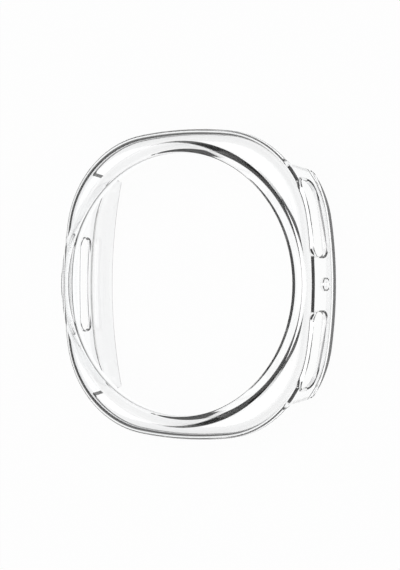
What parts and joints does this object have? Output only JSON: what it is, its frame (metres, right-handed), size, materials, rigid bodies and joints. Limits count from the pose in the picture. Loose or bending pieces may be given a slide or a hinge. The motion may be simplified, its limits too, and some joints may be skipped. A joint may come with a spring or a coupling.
{
  "type": "smartwatch bumper case",
  "caption": "Clear clip-on bumper for a cushion-shaped smartwatch with a round display: raised lip, shallow strap-side skirts, deep side walls, button slots, sound openings.",
  "frame": {"origin": "centre of the bounding box's underside, on the plane of the rear rim", "axes": "+Z out of the display, +X to 3 o'clock (the button side), +Y to 12 o'clock"},
  "size_m": [0.0454, 0.048, 0.0096],
  "materials": {
    "clear_shell": "polished, water-clear"
  },
  "bodies": {
    "root": {"display_lip": "clear_shell", "strap_skirt_top": "clear_shell", "strap_skirt_bottom": "clear_shell", "corner_top_right": "clear_shell", "corner_bottom_right": "clear_shell", "corner_top_left": "clear_shell", "corner_bottom_left": "clear_shell", "shoulder_left": "clear_shell", "shoulder_right": "clear_shell", "button_bridge": "clear_shell", "end_post_top": "clear_shell", "end_post_bottom": "clear_shell", "rear_rail_top": "clear_shell", "rear_rail_bottom": "clear_shell", "snap_flange_right": "clear_shell", "left_wall_top": "clear_shell", "left_wall_bottom": "clear_shell", "speaker_rail_front": "clear_shell", "speaker_rail_rear": "clear_shell", "snap_flange_left": "clear_shell"}
  },
  "joints": []
}
